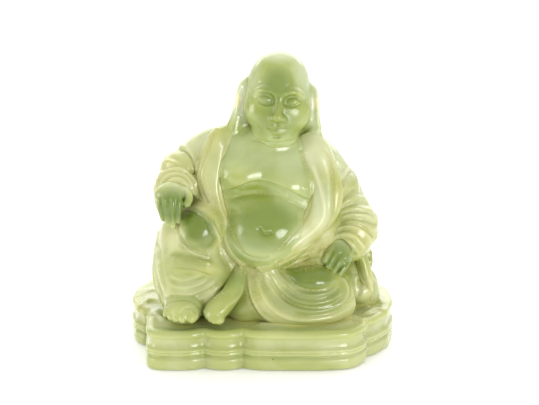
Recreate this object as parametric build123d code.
"""Seated robed figurine on a lobed, moulded plinth, carved in polished green stone.

Millimetres, +Z up, the figure faces -Y, origin at the centre of the plinth's underside.
The carving is split into the forms a carver names: plinth, robe, torso, head, ears, lapels,
sleeves, cuffs, hands, trouser legs, feet, skirt, sack and sack tie. "right" and "left" are the
figure's own, so its right side lies at -X. Each form is blocked out in flat facets, as a carver
roughs it out, and neighbouring forms meet face to face.
"""
from build123d import *
import math
import os

# ---- driving dimensions -------------------------------------------------------------
PLINTH_H = 20.5          # height of the plinth to its rim
SEAT_Z = 19.6            # floor inside the rim, where the figure sits
BAND_H = 6.4             # plain band at the foot
RIDGE_H = 10.6           # top of the lower ridge
COVE_H = 16.4            # top of the hollow between the ridge and the lip
LIP_IN = 0.4             # how far the lip stands in from the widest outline
COVE_IN = 1.5            # depth of the hollow
RIM_W = 2.2              # width of the raised rim around the seat
SIDES = 20               # facets around a rounded form
TIERS = 12               # facets from its top to its bottom

# outline of the plinth, counter-clockwise from above: x, y, corner radius
OUTLINE = [
    (-57.0, -12.4, 1.0), (-57.9, -16.0, 3.0), (-57.2, -46.4, 18.5), (-31.2, -46.6, 8.0),
    (-30.3, -38.9, 0.8), (-29.4, -46.8, 8.0), (-10.4, -46.8, 8.0), (-9.6, -39.5, 0.8),
    (-8.4, -46.8, 7.0), (16.0, -47.6, 30.0), (32.0, -47.6, 30.0), (45.2, -46.4, 8.0), (55.2, -29.6, 3.5),
    (53.9, -27.0, 0.8), (58.0, -23.8, 3.0), (63.6, -13.5, 12.0), (66.8, 5.0, 18.0), (65.8, 24.0, 14.0),
    (54.0, 42.0, 12.0), (24.0, 46.6, 8.0), (20.6, 40.6, 0.8), (17.0, 47.6, 9.0), (-17.0, 47.6, 9.0),
    (-20.6, 41.0, 0.8), (-24.0, 47.0, 8.0), (-54.6, 46.6, 15.0), (-65.8, 24.0, 14.0), (-66.8, 8.0, 10.0),
    (-64.6, -5.0, 7.0), (-60.4, -11.4, 3.0),
]


def outline_face():
    """The outline as straight runs joined by tangent arcs."""
    joints = []
    count = len(OUTLINE)
    for i, (x, y, r) in enumerate(OUTLINE):
        p = Vector(x, y)
        before, after = Vector(*OUTLINE[i - 1][:2]), Vector(*OUTLINE[(i + 1) % count][:2])
        a, b = (before - p).normalized(), (after - p).normalized()
        half = math.acos(max(-1, min(1, a.dot(b)))) / 2
        reach = min(r / math.tan(half), 0.49 * (before - p).length, 0.49 * (after - p).length)
        radius = reach * math.tan(half)
        centre = p + (a + b).normalized() * (radius / math.sin(half))
        joints.append((p + a * reach, centre + (p - centre).normalized() * radius, p + b * reach))
    edges = []
    for i, (first, middle, last) in enumerate(joints):
        edges.append(ThreePointArc(first, middle, last))
        edges.append(Line(last, joints[(i + 1) % count][0]))
    return make_face(edges)


def slab(face, inset, z0, z1):
    f = offset(face, amount=-inset, kind=Kind.ARC) if inset else face
    return Pos(0, 0, z0) * extrude(f, z1 - z0)


def facets(rings, bottom, top, split=False):
    """Closed solid through rings of points; split gives triangles where a quad isn't flat."""
    n = len(rings[0])
    faces = []

    def poly(*points):
        faces.append(Face(Wire.make_polygon([Vector(*q) for q in points], close=True)))

    for a, b in zip(rings, rings[1:]):
        for j in range(n):
            k = (j + 1) % n
            if split:
                poly(a[j], a[k], b[k])
                poly(a[j], b[k], b[j])
            else:
                poly(a[j], a[k], b[k], b[j])
    for j in range(n):
        k = (j + 1) % n
        poly(bottom, rings[0][k], rings[0][j])
        poly(top, rings[-1][j], rings[-1][k])
    return Solid(Shell(faces))


def ell(c, r, rot=(0, 0, 0), n=SIDES, m=TIERS):
    """Faceted ellipsoid: centre, half sizes, rotation in degrees."""
    rings = []
    for i in range(1, m):
        t = -math.pi / 2 + math.pi * i / m
        rings.append([
            (r[0] * math.cos(t) * math.cos(2 * math.pi * (j + 0.5) / n),
             r[1] * math.cos(t) * math.sin(2 * math.pi * (j + 0.5) / n),
             r[2] * math.sin(t)) for j in range(n)
        ])
    return Pos(*c) * Rot(*rot) * facets(rings, (0, 0, -r[2]), (0, 0, r[2]))


def stack(sections, n=36):
    """Faceted solid through horizontal ellipses: x, y, z, half width, half depth."""
    rings = [[(x + a * math.cos(2 * math.pi * (j + 0.5) / n), y + b * math.sin(2 * math.pi * (j + 0.5) / n), z)
              for j in range(n)] for x, y, z, a, b in sections]
    x0, y0, z0 = sections[0][:3]
    x1, y1, z1 = sections[-1][:3]
    return facets(rings, (x0, y0, z0 - 0.5), (x1, y1, z1 + 0.8), split=True)


def biggest(shape):
    return max(shape.solids(), key=lambda s: s.volume)


# ---- the forms, in the order in which a form keeps its whole shape -------------------
forms = {}

base = outline_face()
plinth = slab(base, 0.3, 0, BAND_H)
plinth += slab(base, 0.0, BAND_H, RIDGE_H)
plinth += slab(base, COVE_IN, RIDGE_H, COVE_H)
plinth += slab(base, LIP_IN, COVE_H, PLINTH_H)
plinth -= slab(base, LIP_IN + RIM_W, SEAT_Z, PLINTH_H + 1)
forms["plinth"] = plinth

# hands resting on the knees, knuckles up and fingers turned down
forms["right_hand"] = ell((-42.9, -27.0, 75.6), (8.4, 7.2, 9.6)) + ell((-41.8, -30.2, 68.8), (7.4, 4.4, 9.0)) + ell((-35.0, -27.6, 73.8), (3.4, 4.2, 7.0), (0, -10, 0))
forms["left_hand"] = ell((37.6, -25.6, 50.6), (10.0, 7.4, 8.0), (0, 40, 0)) + ell((29.6, -26.6, 53.0), (6.2, 4.2, 4.4), (0, 30, 0))

# bare feet
forms["right_foot"] = ell((-37.6, -31.5, 25.4), (9.8, 11.8, 8.2), (0, 0, -12))
forms["left_foot"] = (
    ell((-22.4, -33.6, 23.6), (6.8, 9.6, 5.2), (0, 0, -28))
    + ell((-15.6, -29.6, 33.6), (5.4, 5.6, 15.8), (0, 34, 0))
)

# head and neck, leaning a little to the figure's left
forms["head"] = (
    ell((8.8, 0.8, 128.8), (16.2, 18.4, 20.8), (0, 4, 0))
    + ell((8.4, -3.0, 119.4), (15.8, 15.0, 13.0), (0, 4, 0))
    + ell((7.6, 2.0, 106.4), (14.0, 12.8, 9.6))
)
forms["right_ear"] = (
    ell((-9.0, 0.6, 127.6), (3.4, 5.4, 8.8), (0, 12, 0))
    + ell((-10.6, -2.4, 118.6), (3.2, 4.2, 8.0), (0, 12, 0))
    + ell((-12.4, -5.0, 112.0), (3.4, 3.4, 6.4), (0, 16, 0))
)
forms["left_ear"] = (
    ell((26.0, 0.6, 124.2), (3.4, 5.4, 8.8), (0, -2, 0))
    + ell((26.8, -2.4, 115.4), (3.2, 4.2, 8.0), (0, -4, 0))
    + ell((27.4, -5.0, 109.2), (3.4, 3.4, 6.6), (0, -10, 0))
)

# bunched sleeve ends around the wrists
forms["right_cuff"] = ell((-42.4, -16.8, 80.6), (11.8, 9.8, 11.8), (18, 0, 0))
forms["left_cuff"] = ell((46.4, -15.0, 55.0), (12.0, 10.0, 11.8), (14, -20, 0))

# bare chest and belly
forms["torso"] = (
    ell((2.6, -7.6, 65.0), (26.6, 27.0, 22.0), n=24, m=14)
    + ell((2.6, -3.2, 90.0), (26.0, 22.4, 18.0), n=24, m=14)
)

# lapels of the open robe
forms["right_lapel"] = ell((-24.4, -12.0, 82.0), (7.4, 12.0, 27.0), (0, 6, 0)) + ell((-17.6, -20.0, 58.0), (6.4, 12.0, 22.0), (0, -22, 0))
forms["left_lapel"] = ell((30.4, -9.0, 82.0), (10.4, 13.4, 27.0), (0, -10, 0)) + ell((22.6, -20.0, 57.0), (7.6, 12.0, 19.6), (0, 38, 0))

# raised right knee and folded left knee in loose trousers
forms["right_trouser_leg"] = ell((-31.8, -16.6, 58.0), (20.4, 22.4, 19.4), (0, 16, 0)) + ell((-35.8, -16.5, 37.0), (18.4, 19.0, 21.0))
forms["left_trouser_leg"] = ell((24.8, -19.4, 41.4), (25.2, 20.4, 12.8), (0, 8, 0)) + ell((29.6, -19.0, 31.6), (23.4, 19.4, 13.0))

# sleeves
forms["right_sleeve"] = ell((-34.4, 1.6, 90.0), (14.8, 17.0, 15.8), (0, -30, 0)) + ell((-43.6, -3.2, 82.0), (10.8, 15.6, 14.6))
forms["left_sleeve"] = ell((39.0, 1.6, 82.0), (15.8, 17.6, 20.4), (0, -28, 0)) + ell((45.6, -1.8, 64.4), (13.8, 17.0, 16.6))

# cloth sack at the figure's left side, with the end of its tie
forms["sack_tie"] = ell((52.8, -5.6, 37.4), (3.8, 4.2, 14.4), (0, -22, 0))
forms["sack"] = ell((46.8, 9.4, 33.4), (14.6, 19.0, 18.8)) + ell((48.6, 7.6, 48.0), (10.0, 13.0, 10.4))

# skirt of the robe spread in front of the folded leg
forms["skirt"] = ell((13.6, -21.6, 25.6), (29.4, 18.4, 13.2)) + ell((1.6, -23.6, 39.4), (11.4, 12.6, 14.2))

# the robe: back, hips and shoulders
forms["robe"] = stack([
    (-1.0, 3.4, 18.0, 52.6, 33.6), (-0.8, 4.0, 30.0, 51.6, 33.8), (-0.2, 5.0, 45.0, 48.6, 32.6),
    (0.6, 6.0, 60.0, 44.8, 30.2), (1.4, 6.6, 76.0, 42.2, 26.8), (2.4, 6.0, 90.0, 38.0, 23.0),
    (3.6, 5.2, 100.0, 30.6, 18.8), (5.2, 4.6, 107.0, 21.0, 14.4), (6.6, 4.0, 111.6, 11.0, 9.4),
])

# ---- cut each form back from those before it ----------------------------------------
os.makedirs("parts", exist_ok=True)
done = {}
above = Pos(0, 0, SEAT_Z + 100) * Box(300, 300, 200)
for name, shape in forms.items():
    if name != "plinth":
        shape = shape & above
        a = shape.bounding_box()
        for other, o in done.items():
            b = o.bounding_box()
            if (a.min.X < b.max.X and b.min.X < a.max.X and a.min.Y < b.max.Y and b.min.Y < a.max.Y
                    and a.min.Z < b.max.Z and b.min.Z < a.max.Z and other != "plinth"):
                shape = shape - o
    shape = biggest(shape)
    done[name] = shape
    export_step(shape, f"parts/{name}.step")
    bb = shape.bounding_box()
    print(name, round(shape.volume), shape.is_valid, [round(v, 1) for v in (*bb.min, *bb.max)], flush=True)
